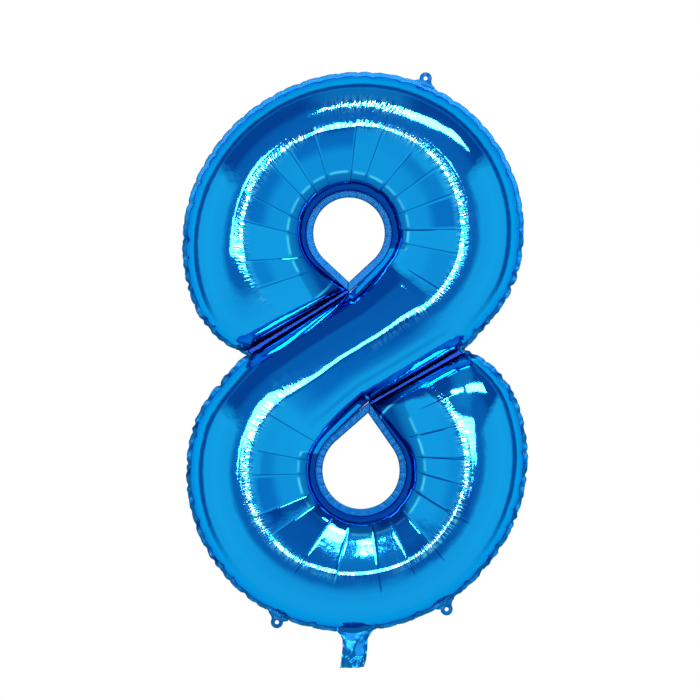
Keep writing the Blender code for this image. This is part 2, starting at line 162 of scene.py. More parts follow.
clear_from_below = either_shader(
    floor_tree, floor_side.outputs["Backfacing"], pale_or_white, floor_clear.outputs[0]
)
floor_tree.links.new(clear_from_below, floor_tree.nodes["Material Output"].inputs["Surface"])
floor.data.materials.append(floor_paint)

SOFT_LAMPS = (  # name, place, width, height and power, each aimed at the waist
    ("window_lamp", (-0.15, -4.6, 1.0), 2.2, 1.6, 190),
    ("top_front_lamp", (-0.25, -2.2, 2.45), 0.66, 0.19, 17),
    ("high_right_lamp", (1.1, -1.75, 2.45), 1.75, 0.52, 75),
    ("back_window_lamp", (0.3, 4.6, 1.1), 2.0, 1.0, 100),
)
for name, place, width, height, watts in SOFT_LAMPS:
    lamp = bpy.data.lights.new(name, "AREA")
    lamp.shape = "RECTANGLE"
    lamp.size = width
    lamp.size_y = height
    lamp.energy = watts
    soft_box = bpy.data.objects.new(name, lamp)
    soft_box.location = place
    soft_box.rotation_euler = (waist - Vector(place)).to_track_quat("-Z", "Y").to_euler()
    bpy.context.scene.collection.objects.link(soft_box)

# The room's walls are rings of light and shade from its front (0) to its back (1). The rings at the height of
# the lamps differ from those in the upper corners and near the floor.
LEVEL_RINGS = (
    (0.0, 0.24), (0.03, 0.28), (0.065, 0.78), (0.25, 0.87), (0.49, 0.80), (0.55, 0.16), (0.63, 0.16),
    (0.68, 0.92), (0.93, 0.98), (0.965, 0.30), (1.0, 0.26),
)
CORNER_RINGS = (
    (0.0, 0.22), (0.04, 0.26), (0.12, 0.24), (0.20, 0.12), (0.46, 0.12), (0.50, 0.30), (0.56, 0.11),
    (0.63, 0.11), (0.68, 0.86), (0.93, 0.92), (0.965, 0.30), (1.0, 0.26),
)
LOW_RINGS = (
    (0.0, 0.22), (0.05, 0.24), (0.10, 0.72), (0.25, 0.82), (0.60, 0.80), (0.93, 0.94), (0.965, 0.30),
    (1.0, 0.26),
)
CORNERS = ((0.0, 0.62), (0.05, 0.66), (0.13, 1.0), (0.66, 1.0), (0.76, 0.0))  # by how far sideways, squared
UPPER_PART = (0.0, 0.12)
LOWER_PART = (-0.30, -0.75)


def sky_blue(shade):
    """The room's light is white, and its shade is blue."""
    return (0.3 * shade, shade**0.97, shade**0.5, 1)


world = bpy.data.worlds.new("studio_room")
bpy.context.scene.world = world
world.use_nodes = True
room = world.node_tree
room.nodes.clear()
towards = room.nodes.new("ShaderNodeTexCoord")
parts = room.nodes.new("ShaderNodeSeparateXYZ")
room.links.new(towards.outputs["Generated"], parts.inputs[0])
across, back, up = (parts.outputs[axis] for axis in "XYZ")
depth = combine(room, "MULTIPLY_ADD", back, 0.5, 0.5)
across_squared = combine(room, "MULTIPLY", across, across)
sideways = combine(room, "DIVIDE", across_squared, combine(room, "MULTIPLY_ADD", up, up, across_squared))
in_corner = combine(room, "MULTIPLY", fade(room, up, *UPPER_PART), shades(room, sideways, CORNERS))
level, corner, low = (
    shades(room, depth, rings, sky_blue) for rings in (LEVEL_RINGS, CORNER_RINGS, LOW_RINGS)
)
walls = mixed(room, in_corner, mixed(room, fade(room, up, *LOWER_PART), level, low), corner)
ray = room.nodes.new("ShaderNodeLightPath")
glow = room.nodes.new("ShaderNodeBackground")
room.links.new(mixed(room, ray.outputs["Is Glossy Ray"], WHITE, walls), glow.inputs["Color"])
room_out = room.nodes.new("ShaderNodeOutputWorld")
room.links.new(glow.outputs[0], room_out.inputs["Surface"])
bpy.context.scene.view_settings.view_transform = "Standard"

# --- Foil sheets ---
# The balloon's front and back are two sheets of aluminium-coated film, lacquered blue and cut to one outline.
# They are heat-welded along the rim, round both holes and down two cross seams, so the gas fills one S-shaped
# tube, from the upper arm over the upper lobe, down the stroke and round the lower lobe to the lower arm.
LOBE_RADIUS = 0.2535
LOBE_OVAL = 0.0068
LOBE_LEAN = math.radians(30)
LOBE_SPACING = 0.3405
LOBE_SHIFT = 0.003
NOTCH_ANGLE = math.radians(-44.5)
NOTCH_RADIUS = 0.2375
TUCK_ANGLE = math.radians(32)
ARM_ROUND = math.radians(24)
HOLE_SHIFT = (-0.006, 0.0075)
UPPER_HOLE = (0.0535, 0.073, math.radians(-90))  # radius, then the tip's reach and direction
LOWER_HOLE = (0.0577, 0.0865, math.radians(-97))
OUTER_SEAM = 0.007
HOLE_SEAM = 0.010
CROSS_SEAM = 0.005
LOOP_STATIONS = 720
STROKE_STATIONS = 48  # in each third of the stroke
ROWS = 60
COARSE = 12  # stations per station of the plan that the swelling is worked out on
COARSE_ROWS = 5


def smooth(value):
    """A smooth step from 0 to 1."""
    t = np.clip(value, 0.0, 1.0)
    return t * t * (3 - 2 * t)


def unit(angle):
    return np.array([math.cos(angle), math.sin(angle)])


def length(vector):
    return float(np.linalg.norm(vector))


class Lobe:
    """One loop. The lower one is the upper one turned by half a turn, and keeps angles in its own frame."""

    def __init__(self, turn, height, hole):
        self.turn = turn
        self.centre = np.array([-LOBE_SHIFT * turn, height])
        self.hole_centre = self.centre + turn * np.array(HOLE_SHIFT)
        self.hole_radius, reach, self.tip_angle = hole
        self.tip_spread = math.acos(self.hole_radius / reach)
        self.arm_angle = None

    def outline(self, angle, inset=0.0):
        radius = LOBE_RADIUS + LOBE_OVAL * math.cos(2 * (angle - LOBE_LEAN))
        radius += (NOTCH_RADIUS - radius) * smooth((NOTCH_ANGLE + TUCK_ANGLE - angle) / TUCK_ANGLE)
        if self.arm_angle is not None:
            corner = max(0.0, 1 - (self.arm_angle - angle) / ARM_ROUND) ** 2
            radius += (self.arm_radius - radius) * corner
        return self.centre + self.turn * (radius - inset) * unit(angle)

    def hole_edge(self, angle, outset=0.0):
        off_tip = abs(math.remainder(angle - self.tip_angle, math.tau))
        radius = (self.hole_radius + outset) / math.cos(max(0.0, self.tip_spread - off_tip))
        return self.hole_centre + self.turn * radius * unit(angle)

    def meet(self, other):
        offset = other.outline(NOTCH_ANGLE) - self.centre
        self.arm_angle = math.atan2(self.turn * offset[1], self.turn * offset[0]) % math.tau
        self.arm_radius = length(offset)


upper = Lobe(1, middle_z + LOBE_SPACING / 2, UPPER_HOLE)
lower = Lobe(-1, middle_z - LOBE_SPACING / 2, LOWER_HOLE)
weld_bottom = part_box("front_foil")[0][2]
drop = weld_bottom - lower.outline(math.pi / 2, OUTER_SEAM)[1]
upper = Lobe(1, upper.centre[1] + drop, UPPER_HOLE)
lower = Lobe(-1, lower.centre[1] + drop, LOWER_HOLE)
upper.meet(lower)
lower.meet(upper)


def angle_clear_of(origin, direction, offset, edge, start, end):
    """The angle at which an edge comes to lie offset away from a line."""
    normal = np.array([-direction[1], direction[0]])
    near, far = start, end
    for _ in range(40):
        half_way = (near + far) / 2
        if abs(float(np.dot(edge(half_way) - origin, normal))) < offset:
            near = half_way
        else:
            far = half_way
    return far


def past_notch(lobe, other):
    """Angle, just past a lobe's notch, where its weld comes within half a cross seam of the other's line."""
    notch, tip = lobe.outline(NOTCH_ANGLE), other.hole_edge(other.tip_angle, HOLE_SEAM)
    return angle_clear_of(
        notch,
        (tip - notch) / length(tip - notch),
        CROSS_SEAM / 2,
        lambda a: lobe.outline(a, OUTER_SEAM),
        NOTCH_ANGLE - OUTER_SEAM / NOTCH_RADIUS,
        NOTCH_ANGLE,
    )


def loop_half(lobe, other):
    """A lobe's stations from its arm's end to its notch: outer weld, free edge, hole weld, hole edge."""
    tip = lobe.hole_edge(lobe.tip_angle, HOLE_SEAM)
    notch = other.outline(NOTCH_ANGLE)
    direction = (tip - notch) / length(tip - notch)
    half = CROSS_SEAM / 2
    arm = angle_clear_of(
        notch, direction, half, lambda a: lobe.outline(a, OUTER_SEAM), lobe.arm_angle, lobe.arm_angle - 0.3
    )
    tip_start = lobe.tip_angle + math.tau
    hole_start = angle_clear_of(
        notch, direction, half, lambda a: lobe.hole_edge(a, HOLE_SEAM), tip_start, tip_start - 0.6
    )
    hole_end = lobe.tip_angle + lobe.tip_spread
    notch_end = past_notch(lobe, other)
    stations = []
    for share in np.linspace(0, 1, LOOP_STATIONS + 1):
        outer = arm + (notch_end - arm) * share
        inner = outer + (hole_start - arm) * (1 - share) ** 4 + (hole_end - notch_end) * share**4
        free = min(max(outer, NOTCH_ANGLE), lobe.arm_angle) if share else lobe.arm_angle
        stations.append(
            (
                lobe.outline(outer, OUTER_SEAM),
                lobe.outline(free),
                lobe.hole_edge(inner, HOLE_SEAM),
                lobe.hole_edge(inner),
            )
        )
    return np.array(stations)


def stroke_side(lobe, other):
    """The hole's tip on the stroke's side of the cross seam, and the stroke's end of the notch's weld."""
    tip = lobe.hole_edge(lobe.tip_angle, HOLE_SEAM)
    notch = other.outline(NOTCH_ANGLE)
    along = (notch - tip) / length(notch - tip)
    across = np.array([along[1], -along[0]]) * CROSS_SEAM / 2
    if np.dot(across, other.centre - lobe.centre) < 0:
        across = -across
    return tip + across, other.outline(past_notch(other, lobe), OUTER_SEAM)


def steps(start, end):
    share = np.arange(1, STROKE_STATIONS + 1)[:, None] / STROKE_STATIONS
    return start + (end - start) * share


def fraction_along(start, end, point):
    along = end - start
    return min(max(float(np.dot(point - start, along) / np.dot(along, along)), 0.3), 0.9)


top_loop, bottom_loop = loop_half(upper, lower), loop_half(lower, upper)
upper_tip, lower_notch = stroke_side(upper, lower)
lower_tip, upper_notch = stroke_side(lower, upper)
right_turn = upper_notch + (lower_tip - upper_notch) * fraction_along(upper_notch, lower_tip, upper_tip)
left_turn = lower_notch + (upper_tip - lower_notch) * fraction_along(lower_notch, upper_tip, lower_tip)
bottom_run = bottom_loop[::-1]  # from the left notch to the right arm's end
left_edge = np.vstack(
    [
        top_loop[:, 0],
        steps(top_loop[-1, 0], right_turn),
        steps(right_turn, lower_tip),
        steps(lower_tip, bottom_run[0, 2]),
        bottom_run[1:, 2],
    ]
)
right_edge = np.vstack(
    [
        top_loop[:, 2],
        steps(top_loop[-1, 2], upper_tip),
        steps(upper_tip, left_turn),
        steps(left_turn, bottom_run[0, 0]),
        bottom_run[1:, 0],
    ]
)
STATIONS = len(left_edge)
TOP_END = LOOP_STATIONS  # last station of the upper loop
BOTTOM_START = LOOP_STATIONS + 3 * STROKE_STATIONS  # first station of the lower loop

# Blown up, the square of the film's height over the plan solves Poisson's equation, held at zero along the
# welds. That gives a round section on a straight tube and a pillow end at each cross seam.
row_share = (1 - np.cos(np.pi * np.arange(ROWS + 1) / ROWS)) / 2
plan = left_edge[:, None, :] + (right_edge - left_edge)[:, None, :] * row_share[None, :, None]


def swelling(grid):
    """Squared height over a coarse grid, with the load heavier on the outside of a bend."""
    stations, rows = grid.shape[:2]
    number = np.arange(stations * rows).reshape(stations, rows)
    points = grid.reshape(-1, 2)
    hoop = np.linalg.norm(np.diff(grid, axis=0), axis=2)
    load = (hoop / hoop.mean(axis=1, keepdims=True)) ** 2
    load = np.vstack([load[:1], (load[1:] + load[:-1]) / 2, load[-1:]]).reshape(-1)
    a, b = number[:-1, :-1].ravel(), number[1:, :-1].ravel()
    c, d = number[1:, 1:].ravel(), number[:-1, 1:].ravel()
    stiffness = np.zeros((points.shape[0], points.shape[0]))
    force = np.zeros(points.shape[0])
    for corners in ((a, b, c), (a, c, d), (a, b, d), (b, c, d)):
        p = [points[k] for k in corners]
        edges = [p[2] - p[1], p[0] - p[2], p[1] - p[0]]
        area = np.abs(edges[0][:, 0] * edges[1][:, 1] - edges[0][:, 1] * edges[1][:, 0]) / 2
        for i in range(3):
            np.add.at(force, corners[i], area / 6)
            for j in range(3):
                shared = (edges[i] * edges[j]).sum(axis=1) / (8 * area)
                np.add.at(stiffness, (corners[i], corners[j]), shared)
    inside = number[1:-1, 1:-1].ravel()
    squared = np.zeros(points.shape[0])
    squared[inside] = np.linalg.solve(stiffness[np.ix_(inside, inside)], (force * load)[inside])
    return np.maximum(squared, 0).reshape(stations, rows)


def refine(values, factor, axis):
    """Catmull-Rom interpolation to factor times as many steps along one axis."""
    values = np.moveaxis(values, axis, 0)
    count = len(values)
    padded = np.concatenate([2 * values[:1] - values[1:2], values, 2 * values[-1:] - values[-2:-1]])
    place = np.arange((count - 1) * factor + 1) / factor
    cell = np.minimum(place.astype(int), count - 2)
    t = (place - cell).reshape(-1, *([1] * (values.ndim - 1)))
    p0, p1, p2, p3 = (padded[cell + k] for k in range(4))
    fine = p1 + 0.5 * t * (p2 - p0 + t * (2 * p0 - 5 * p1 + 4 * p2 - p3 + t * (3 * (p1 - p2) + p3 - p0)))
    return np.moveaxis(fine, 0, axis)


coarse = swelling(plan[::COARSE, ::COARSE_ROWS])
squared_height = refine(refine(coarse, COARSE, 0), COARSE_ROWS, 1)
height = np.sqrt(np.maximum(squared_height, 0))

# Round a hole the film stands up in a steep wall, then runs out to the ridge as a flat cone.
UPPER_RIDGE = 0.52  # where the ridge lies, from the hole's weld to the outer weld
LOWER_RIDGE = 0.48
CONE_DROP = 0.5
CONE_POWER = 1.15
WALL_POWER = 10
station = np.arange(STATIONS)
to_bottom = smooth((station - TOP_END - STROKE_STATIONS) / STROKE_STATIONS)[:, None]
hole_share = row_share[None, :] * to_bottom + (1 - row_share[None, :]) * (1 - to_bottom)
in_stroke = smooth((station - TOP_END + 20) / STROKE_STATIONS) * smooth(
    (BOTTOM_START + 20 - station) / STROKE_STATIONS
)
in_loop = (1 - in_stroke)[:, None]
ridge = UPPER_RIDGE + (LOWER_RIDGE - UPPER_RIDGE) * smooth((station[:, None] - BOTTOM_START - 100) / 250)
inward = np.clip((ridge - hole_share) / ridge, 0, 1)
outward = np.clip((hole_share - ridge) / (1 - ridge), 0, 1)
cone = (1 - CONE_DROP * inward**CONE_POWER) * np.sqrt(1 - inward**WALL_POWER) * np.sqrt(1 - outward**2)
round_section = np.sqrt(np.maximum(4 * row_share * (1 - row_share), 1e-9))[None, :]
reshape = np.ones_like(cone)
reshape[:, 1:-1] = cone[:, 1:-1] / round_section[:, 1:-1]
height *= 1 + in_loop * (reshape - 1)
foil_low, foil_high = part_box("front_foil")
CREASE_ROOM = 0.001
height *= (foil_high[1] - foil_low[1] - CREASE_ROOM) / height.max()
EDGE_GAP = 0.0002  # the sheets lie this far from the plane of the welds at their edges
film = np.stack([plan[..., 0], -height - EDGE_GAP, plan[..., 1]], axis=-1)

# distances over the film: along the tube's middle, and from each edge across the tube
middle_step = np.linalg.norm(np.diff(film[:, ROWS // 2], axis=0), axis=1)
along = np.concatenate([[0], np.cumsum(middle_step)])
across_step = np.linalg.norm(np.diff(film, axis=1), axis=2)
from_left = np.concatenate([np.zeros((STATIONS, 1)), np.cumsum(across_step, axis=1)], axis=1)
from_right = from_left[:, -1:] - from_left


def surface_normals(points):
    du = np.gradient(points, axis=0)
    dv = np.gradient(points, axis=1)
    normal = np.cross(dv, du)
    size = np.linalg.norm(normal, axis=2, keepdims=True)
    normal = normal / np.maximum(size, 1e-12)
    return np.where((normal[..., 1:2] > 0), -normal, normal)


# Foil doesn't stretch, so the film that is too long for the shape gathers in sharp creases square to the
# welds: long ones from the holes to the ridge, short deep ones at the outer weld, small ones at the waist.
crease_draw = random.Random(8)
relief = np.zeros((STATIONS, ROWS + 1))
to_crease = np.full((STATIONS, ROWS + 1), 0.05)  # distance to the nearest sharp fold
painted_facet_gleam = np.zeros((STATIONS, ROWS + 1))  # how strongly the painted highlight along the fold round the hole's wall shows in each facet
painted_facet_shade = np.zeros((STATIONS, ROWS + 1))  # painted shade: how dark each facet is painted, most towards the ridge


def add_crease(where, distance, start, end, depth, width, slant):
    """A sharp valley across the tube, along the side that distance is measured from."""
    near = np.abs(along - where) < 6 * width + 0.12 * abs(slant) + 0.01
    rows = np.where(near)[0]
    d = distance[rows]
    offset = np.abs(along[rows][:, None] - where - slant * d)
    rise = smooth((d - start) / 0.012) if start > 0 else 1.0
    fall = 1 - smooth((d - (start + (end - start) * 0.35)) / ((end - start) * 0.65))
    relief[rows] -= depth * np.exp(-offset / width) * rise * fall


def crease_run(first, last, distance, spacing, ends, depths, widths, slants, starts=(0.0, 0.0), skip=0.0):
    """Creases in a row from station first to last, with skip the share of them that are left out."""
    where = along[first] + spacing * crease_draw.uniform(0.2, 0.8)
    while where < along[last]:
        if crease_draw.random() >= skip:
            add_crease(
                where,
                distance,
                crease_draw.uniform(*starts),
                crease_draw.uniform(*ends),
                crease_draw.uniform(*depths),
                crease_draw.uniform(*widths),
                crease_draw.uniform(*slants),
            )
        where += spacing * crease_draw.uniform(0.7, 1.35)


CONE_TOP = 0.128  # along the film from the hole's weld to the ridge
FACET = 0.047  # mean width of a facet along the tube's middle
FACET_START = 0.040  # along the film from the hole's weld to where a facet's creases start
# painted shade for each facet, picked at random from these
PAINTED_FACET_SHADES = (0.0, 0.1, 0.3, 0.5, 0.75)


def add_facet(left, right, hole_side):
    """The film between two long creases round a hole: a little bowed, with its own tilt, painted shade and
    painted highlight.
    """
    slant = crease_draw.uniform(-0.03, 0.03)
    end = CONE_TOP * crease_draw.uniform(0.93, 1.12)
    add_crease(left, hole_side, FACET_START, end, 0.0006, 0.0014, slant)
    offset = np.abs(along[:, None] - left - slant * hole_side)
    beyond = np.maximum(hole_side - end, 0) + np.maximum(FACET_START + 0.002 - hole_side, 0)
    np.minimum(to_crease, offset + 0.15 * beyond, out=to_crease)
    inside = np.where((along >= left) & (along < right))[0]
    share = ((along[inside] - left) / (right - left))[:, None]
    d = hole_side[inside]
    rise = smooth((d - 0.03) / 0.03) * (1 - smooth((d - CONE_TOP * 0.85) / 0.03))
    bow = crease_draw.uniform(0.0002, 0.0007) * 4 * share * (1 - share)
    lean = crease_draw.uniform(-0.0016, 0.0016) * (share - 0.5)
    lean = lean + crease_draw.uniform(-0.04, 0.04) * (d - 0.09)
    relief[inside] += (bow + lean) * rise
    toward_ridge = 0.25 + 0.75 * smooth((d - 0.085) / 0.02)
    ends = smooth((d - 0.05) / 0.01) * smooth((end - d) / 0.008)
    sides = smooth(share * 14) * smooth((1 - share) * 14)
    painted_facet_shade[inside] = crease_draw.choice(PAINTED_FACET_SHADES) * toward_ridge * ends * sides
    gleam_sides = smooth(share * 6 - 0.3) * smooth((1 - share) * 6 - 0.3)
    painted_facet_gleam[inside] = crease_draw.uniform(0.5, 1.0) * gleam_sides


NO_FACETS = (60, 40)  # stations at the arm's end and at the stroke that have none
for first, last, hole_side in (
    (NO_FACETS[0], TOP_END - NO_FACETS[1], from_right),
    (BOTTOM_START + NO_FACETS[1], STATIONS - NO_FACETS[0], from_left),
):
    edges = [along[first]]
    while edges[-1] < along[last]:
        edges.append(edges[-1] + FACET * crease_draw.uniform(0.72, 1.3))
    for left, right in zip(edges[:-1], edges[1:]):
        add_facet(left, right, hole_side)

RIM_CREASES = dict(
    spacing=0.017, ends=(0.012, 0.045), depths=(0.001, 0.0032), widths=(0.0018, 0.0035), slants=(-0.08, 0.08)
)
RIM_FINE_CREASES = dict(
    spacing=0.008, ends=(0.01, 0.02), depths=(0.0004, 0.001), widths=(0.0012, 0.002), slants=(-0.1, 0.1)
)
WAIST_CREASES = dict(
    spacing=0.014, ends=(0.010, 0.025), depths=(0.0003, 0.0009), widths=(0.0015, 0.003), slants=(-0.1, 0.1)
)
for first, last, rim_side in ((4, TOP_END + 10, from_left), (BOTTOM_START - 10, STATIONS - 4, from_right)):
    crease_run(first, last, rim_side, **RIM_CREASES)
    crease_run(first, last, rim_side, **RIM_FINE_CREASES)
for side in (from_left, from_right):
    crease_run(TOP_END, BOTTOM_START, side, **WAIST_CREASES)

# the stroke's film is drawn tight between the lobes, in long shallow folds
folds = np.zeros(ROWS + 1)
across_middle = from_left[(TOP_END + BOTTOM_START) // 2]
stroke_ridge = across_middle[ROWS // 2]
STROKE_FOLDS = ((0.062, 0.0010), (0.039, 0.0006), (0.021, 0.0002))  # spacing and depth
for period, size in STROKE_FOLDS:
    turn = (across_middle - stroke_ridge) / period
    folds += size * (1 - 4 * np.abs(turn - np.round(turn)))
folds *= np.sin(np.pi * row_share)
relief += in_stroke[:, None] * folds[None, :]
# painted shade below the stroke's ridge: a broad dark band, with a thin dark line beside it
below_ridge = (1 - 2 * row_share)[None, :]
broad_painted_shade = smooth(below_ridge / 0.05) * (1 - smooth((below_ridge - 0.30) / 0.26))
thin_painted_shade = np.exp(-(((below_ridge - 0.61) / 0.022) ** 2))
stroke_painted_shade = np.maximum(0.8 * broad_painted_shade, 0.85 * thin_painted_shade)
painted_facet_shade = np.maximum(painted_facet_shade, in_stroke[:, None] * stroke_painted_shade)

# puckers where each arm ends against the stroke
FIRST_PUCKER = 0.012
PUCKER_SPACING = 0.013
for end_station in (0, STATIONS - 1):
    from_end = np.abs(along - along[end_station])[:, None]
    where = FIRST_PUCKER
    while where < from_left[end_station, -1] - 0.01:
        reach = crease_draw.uniform(0.012, 0.03)
        depth = crease_draw.uniform(0.0004, 0.0014)
        width = crease_draw.uniform(0.0015, 0.003)
        share = where / from_left[end_station, -1]
        offset = np.abs(from_left - share * from_left[:, -1:])
        relief -= depth * np.exp(-offset / width) * (1 - smooth(from_end / reach))
        where += PUCKER_SPACING * crease_draw.uniform(0.7, 1.4)

film = film + surface_normals(film) * relief[..., None]
film[..., 1] = np.minimum(film[..., 1], -EDGE_GAP)
# beside a cross seam the film swells over the weld until the two tubes nearly touch
OVERHANG = CROSS_SEAM / 2 - 0.0004


def lean_over(points, distance, direction, amount):
    """Moves film sideways in the plan, most where it stands 8 to 30 mm from the weld."""
    share = smooth(distance / 0.007) * (1 - smooth((distance - 0.02) / 0.04))
    points[..., 0] += amount * share * direction[..., 0]
    points[..., 2] += amount * share * direction[..., 1]


from_cross = np.full((STATIONS, ROWS + 1), 1.0)  # distance to the nearest cross seam
across_unit = (right_edge - left_edge) / np.linalg.norm(right_edge - left_edge, axis=1, keepdims=True)
right_seam = smooth((station - TOP_END) / 3) * smooth((TOP_END + 2 * STROKE_STATIONS - station) / 3)
left_seam = smooth((station - TOP_END - STROKE_STATIONS) / 3) * smooth((BOTTOM_START - station) / 3)
lean_over(film, from_left, -across_unit[:, None, :], OVERHANG * right_seam[:, None])
lean_over(film, from_right, across_unit[:, None, :], OVERHANG * left_seam[:, None])
for distance, beside in ((from_left, right_seam), (from_right, left_seam)):
    from_cross = np.minimum(from_cross, distance + 0.1 * (1 - beside[:, None]))
for end_station, neighbour in ((0, 1), (STATIONS - 1, STATIONS - 2)):
    back = plan[end_station, ROWS // 2] - plan[neighbour, ROWS // 2]
    line = plan[end_station, -1] - plan[end_station, 0]
    out = np.array([-line[1], line[0]]) / length(line)
    if np.dot(out, back) < 0:
        out = -out
    step = np.linalg.norm(np.diff(film, axis=0), axis=2)
    from_end = np.cumsum(np.concatenate([np.zeros((1, ROWS + 1)), step]), axis=0)
    if end_station:
        from_end = from_end[-1:] - from_end
    from_cross = np.minimum(from_cross, from_end)
    lean_over(film, from_end, np.broadcast_to(out, film.shape[:2] + (2,)), OVERHANG)

for edge in (0, -1):
    film[:, edge, 1] = -EDGE_GAP
    film[edge, :, 1] = -EDGE_GAP
# at the neck the sheets aren't welded: they stand apart round the valve
THROAT_HALF = 0.0175
THROAT_OPENING = 0.0022
THROAT_TOP = 0.03
throat = np.sqrt(np.clip(1 - (film[..., 0] / THROAT_HALF) ** 2, 0, 1)) * (film[..., 2] < THROAT_TOP)
film[..., 1] = np.minimum(film[..., 1], -EDGE_GAP - THROAT_OPENING * throat)


def grid_mesh(name, points, u_values, v_values):
    """A surface through a grid of points, with its own distances as its UV map."""
    stations, rows = points.shape[:2]
    mesh = bpy.data.meshes.new(name)
    number = np.arange(stations * rows).reshape(stations, rows)
    corners = [number[:-1, :-1], number[:-1, 1:], number[1:, 1:], number[1:, :-1]]
    quads = np.stack(corners, axis=-1).reshape(-1, 4)
    mesh.from_pydata(points.reshape(-1, 3).tolist(), [], quads.tolist())
    uv = mesh.uv_layers.new(name="over_film")
    pairs = np.stack([u_values.reshape(-1), v_values.reshape(-1)], axis=-1)
    uv.data.foreach_set("uv", pairs[quads.reshape(-1)].astype(np.float32).ravel())
    mesh.shade_smooth()
    return mesh


def add_piece(name, mesh, material):
    piece = bpy.data.objects.new(name, mesh)
    bpy.context.scene.collection.objects.link(piece)
    piece.data.materials.append(material)
    return piece


FOIL_BLUE = (0.022, 0.40, 0.84)
GRAZING_BLUE = (0.03, 0.42, 0.80, 1)


def foil_material(name, colour, roughness, wrinkle):
    """Blue lacquer over aluminium: a coloured mirror, softly dented all over."""
    material = bpy.data.materials.new(name)
    material.use_nodes = True
    tree = material.node_tree
    shader = tree.nodes["Principled BSDF"]
    shader.inputs["Base Color"].default_value = (*colour, 1)
    shader.inputs["Metallic"].default_value = 1.0
    shader.inputs["Roughness"].default_value = roughness
    shader.inputs["Specular Tint"].default_value = GRAZING_BLUE
    shader.inputs["Coat Weight"].default_value = 0.03
    shader.inputs["Coat Roughness"].default_value = 0.06
    place = tree.nodes.new("ShaderNodeTexCoord")
    soft_dents = tree.nodes.new("ShaderNodeTexNoise")
    soft_dents.inputs["Scale"].default_value = 38.0
    soft_dents.inputs["Detail"].default_value = 3.0
    soft_dents.inputs["Roughness"].default_value = 0.45
    tree.links.new(place.outputs["Object"], soft_dents.inputs["Vector"])
    dented = tree.nodes.new("ShaderNodeBump")
    dented.name = "dented"
    dented.inputs["Strength"].default_value = 1.0
    dented.inputs["Distance"].default_value = wrinkle
    tree.links.new(soft_dents.outputs["Fac"], dented.inputs["Height"])
    for socket in ("Normal", "Coat Normal"):
        tree.links.new(dented.outputs["Normal"], shader.inputs[socket])
    return material


blue_foil = foil_material("blue_foil", FOIL_BLUE, 0.06, 0.0004)
foil_tree = blue_foil.node_tree
foil_shader = foil_tree.nodes["Principled BSDF"]
foil_place = foil_tree.nodes.new("ShaderNodeTexCoord")


def marked(label):
    """What the mesh says of a place on the film, from 0 to 1."""
    node = foil_tree.nodes.new("ShaderNodeAttribute")
    node.attribute_name = label
    return node.outputs["Fac"]


# on the ridge the film gathers in fine folds across it
stretch = foil_tree.nodes.new("ShaderNodeMapping")
stretch.inputs["Scale"].default_value = (430.0, 55.0, 1.0)
foil_tree.links.new(foil_place.outputs["UV"], stretch.inputs["Vector"])
lines = foil_tree.nodes.new("ShaderNodeTexNoise")
lines.inputs["Scale"].default_value = 1.0
lines.inputs["Detail"].default_value = 2.0
lines.inputs["Distortion"].default_value = 0.5
foil_tree.links.new(stretch.outputs["Vector"], lines.inputs["Vector"])
fine_lines, on_ridge = lines.outputs["Fac"], marked("ridge")
fine_folds = foil_tree.nodes.new("ShaderNodeBump")
fine_folds.inputs["Strength"].default_value = 1.0
fine_folds.inputs["Distance"].default_value = 0.0019
foil_tree.links.new(combine(foil_tree, "MULTIPLY", fine_lines, on_ridge), fine_folds.inputs["Height"])
foil_tree.links.new(foil_tree.nodes["dented"].outputs["Normal"], fine_folds.inputs["Normal"])
for socket in ("Normal", "Coat Normal"):
    foil_tree.links.new(fine_folds.outputs["Normal"], foil_shader.inputs[socket])

# painted light on the film: painted shade darkens it down the holes' walls, in the cross seams' valleys,
# along its long creases and on some facets, and painted highlights make it pale along the valleys' lips,
# round each hole's wall and in fine lines on the ridge
patchy = foil_tree.nodes.new("ShaderNodeTexNoise")
patchy.inputs["Scale"].default_value = 18.0
patchy.inputs["Detail"].default_value = 1.0
foil_tree.links.new(foil_place.outputs["Object"], patchy.inputs["Vector"])
from_hole_mark, from_cross_mark = marked("from_hole"), marked("from_cross")
# painted shade: the film darkens down each hole's wall, by its distance from the hole's weld
WALL_PAINTED_SHADE = ((0.0, 0.93), (0.17, 0.90), (0.22, 0.60), (0.275, 0.42), (0.292, 0.0))
# painted highlight: a pale dashed line along the corner where each hole's wall meets the facets
WALL_CORNER_PAINTED_HIGHLIGHT = ((0.266, 0.0), (0.277, 1.0), (0.285, 1.0), (0.296, 0.0))
# painted shade: the film darkens into each cross seam's valley, by its distance from the seam
VALLEY_PAINTED_SHADE = ((0.0, 0.93), (0.10, 0.90), (0.20, 0.55), (0.30, 0.0))
# painted highlight: pale patchy lines along the lips of the cross seams' valleys
VALLEY_LIP_PAINTED_HIGHLIGHT = ((0.262, 0.0), (0.275, 0.8), (0.295, 0.8), (0.31, 0.0))
# painted shade: thin dark lines along the long creases
CREASE_PAINTED_SHADE = ((0.0, 0.80), (0.013, 0.75), (0.03, 0.0))
painted_highlight_patches = shades(foil_tree, patchy.outputs["Fac"], ((0.45, 0.0), (0.6, 1.0)))
painted_lip_highlight = combine(foil_tree, "MULTIPLY", shades(foil_tree, from_cross_mark, VALLEY_LIP_PAINTED_HIGHLIGHT), painted_highlight_patches)
gleam = combine(foil_tree, "MULTIPLY", shades(foil_tree, from_hole_mark, WALL_CORNER_PAINTED_HIGHLIGHT), marked("gleam"))
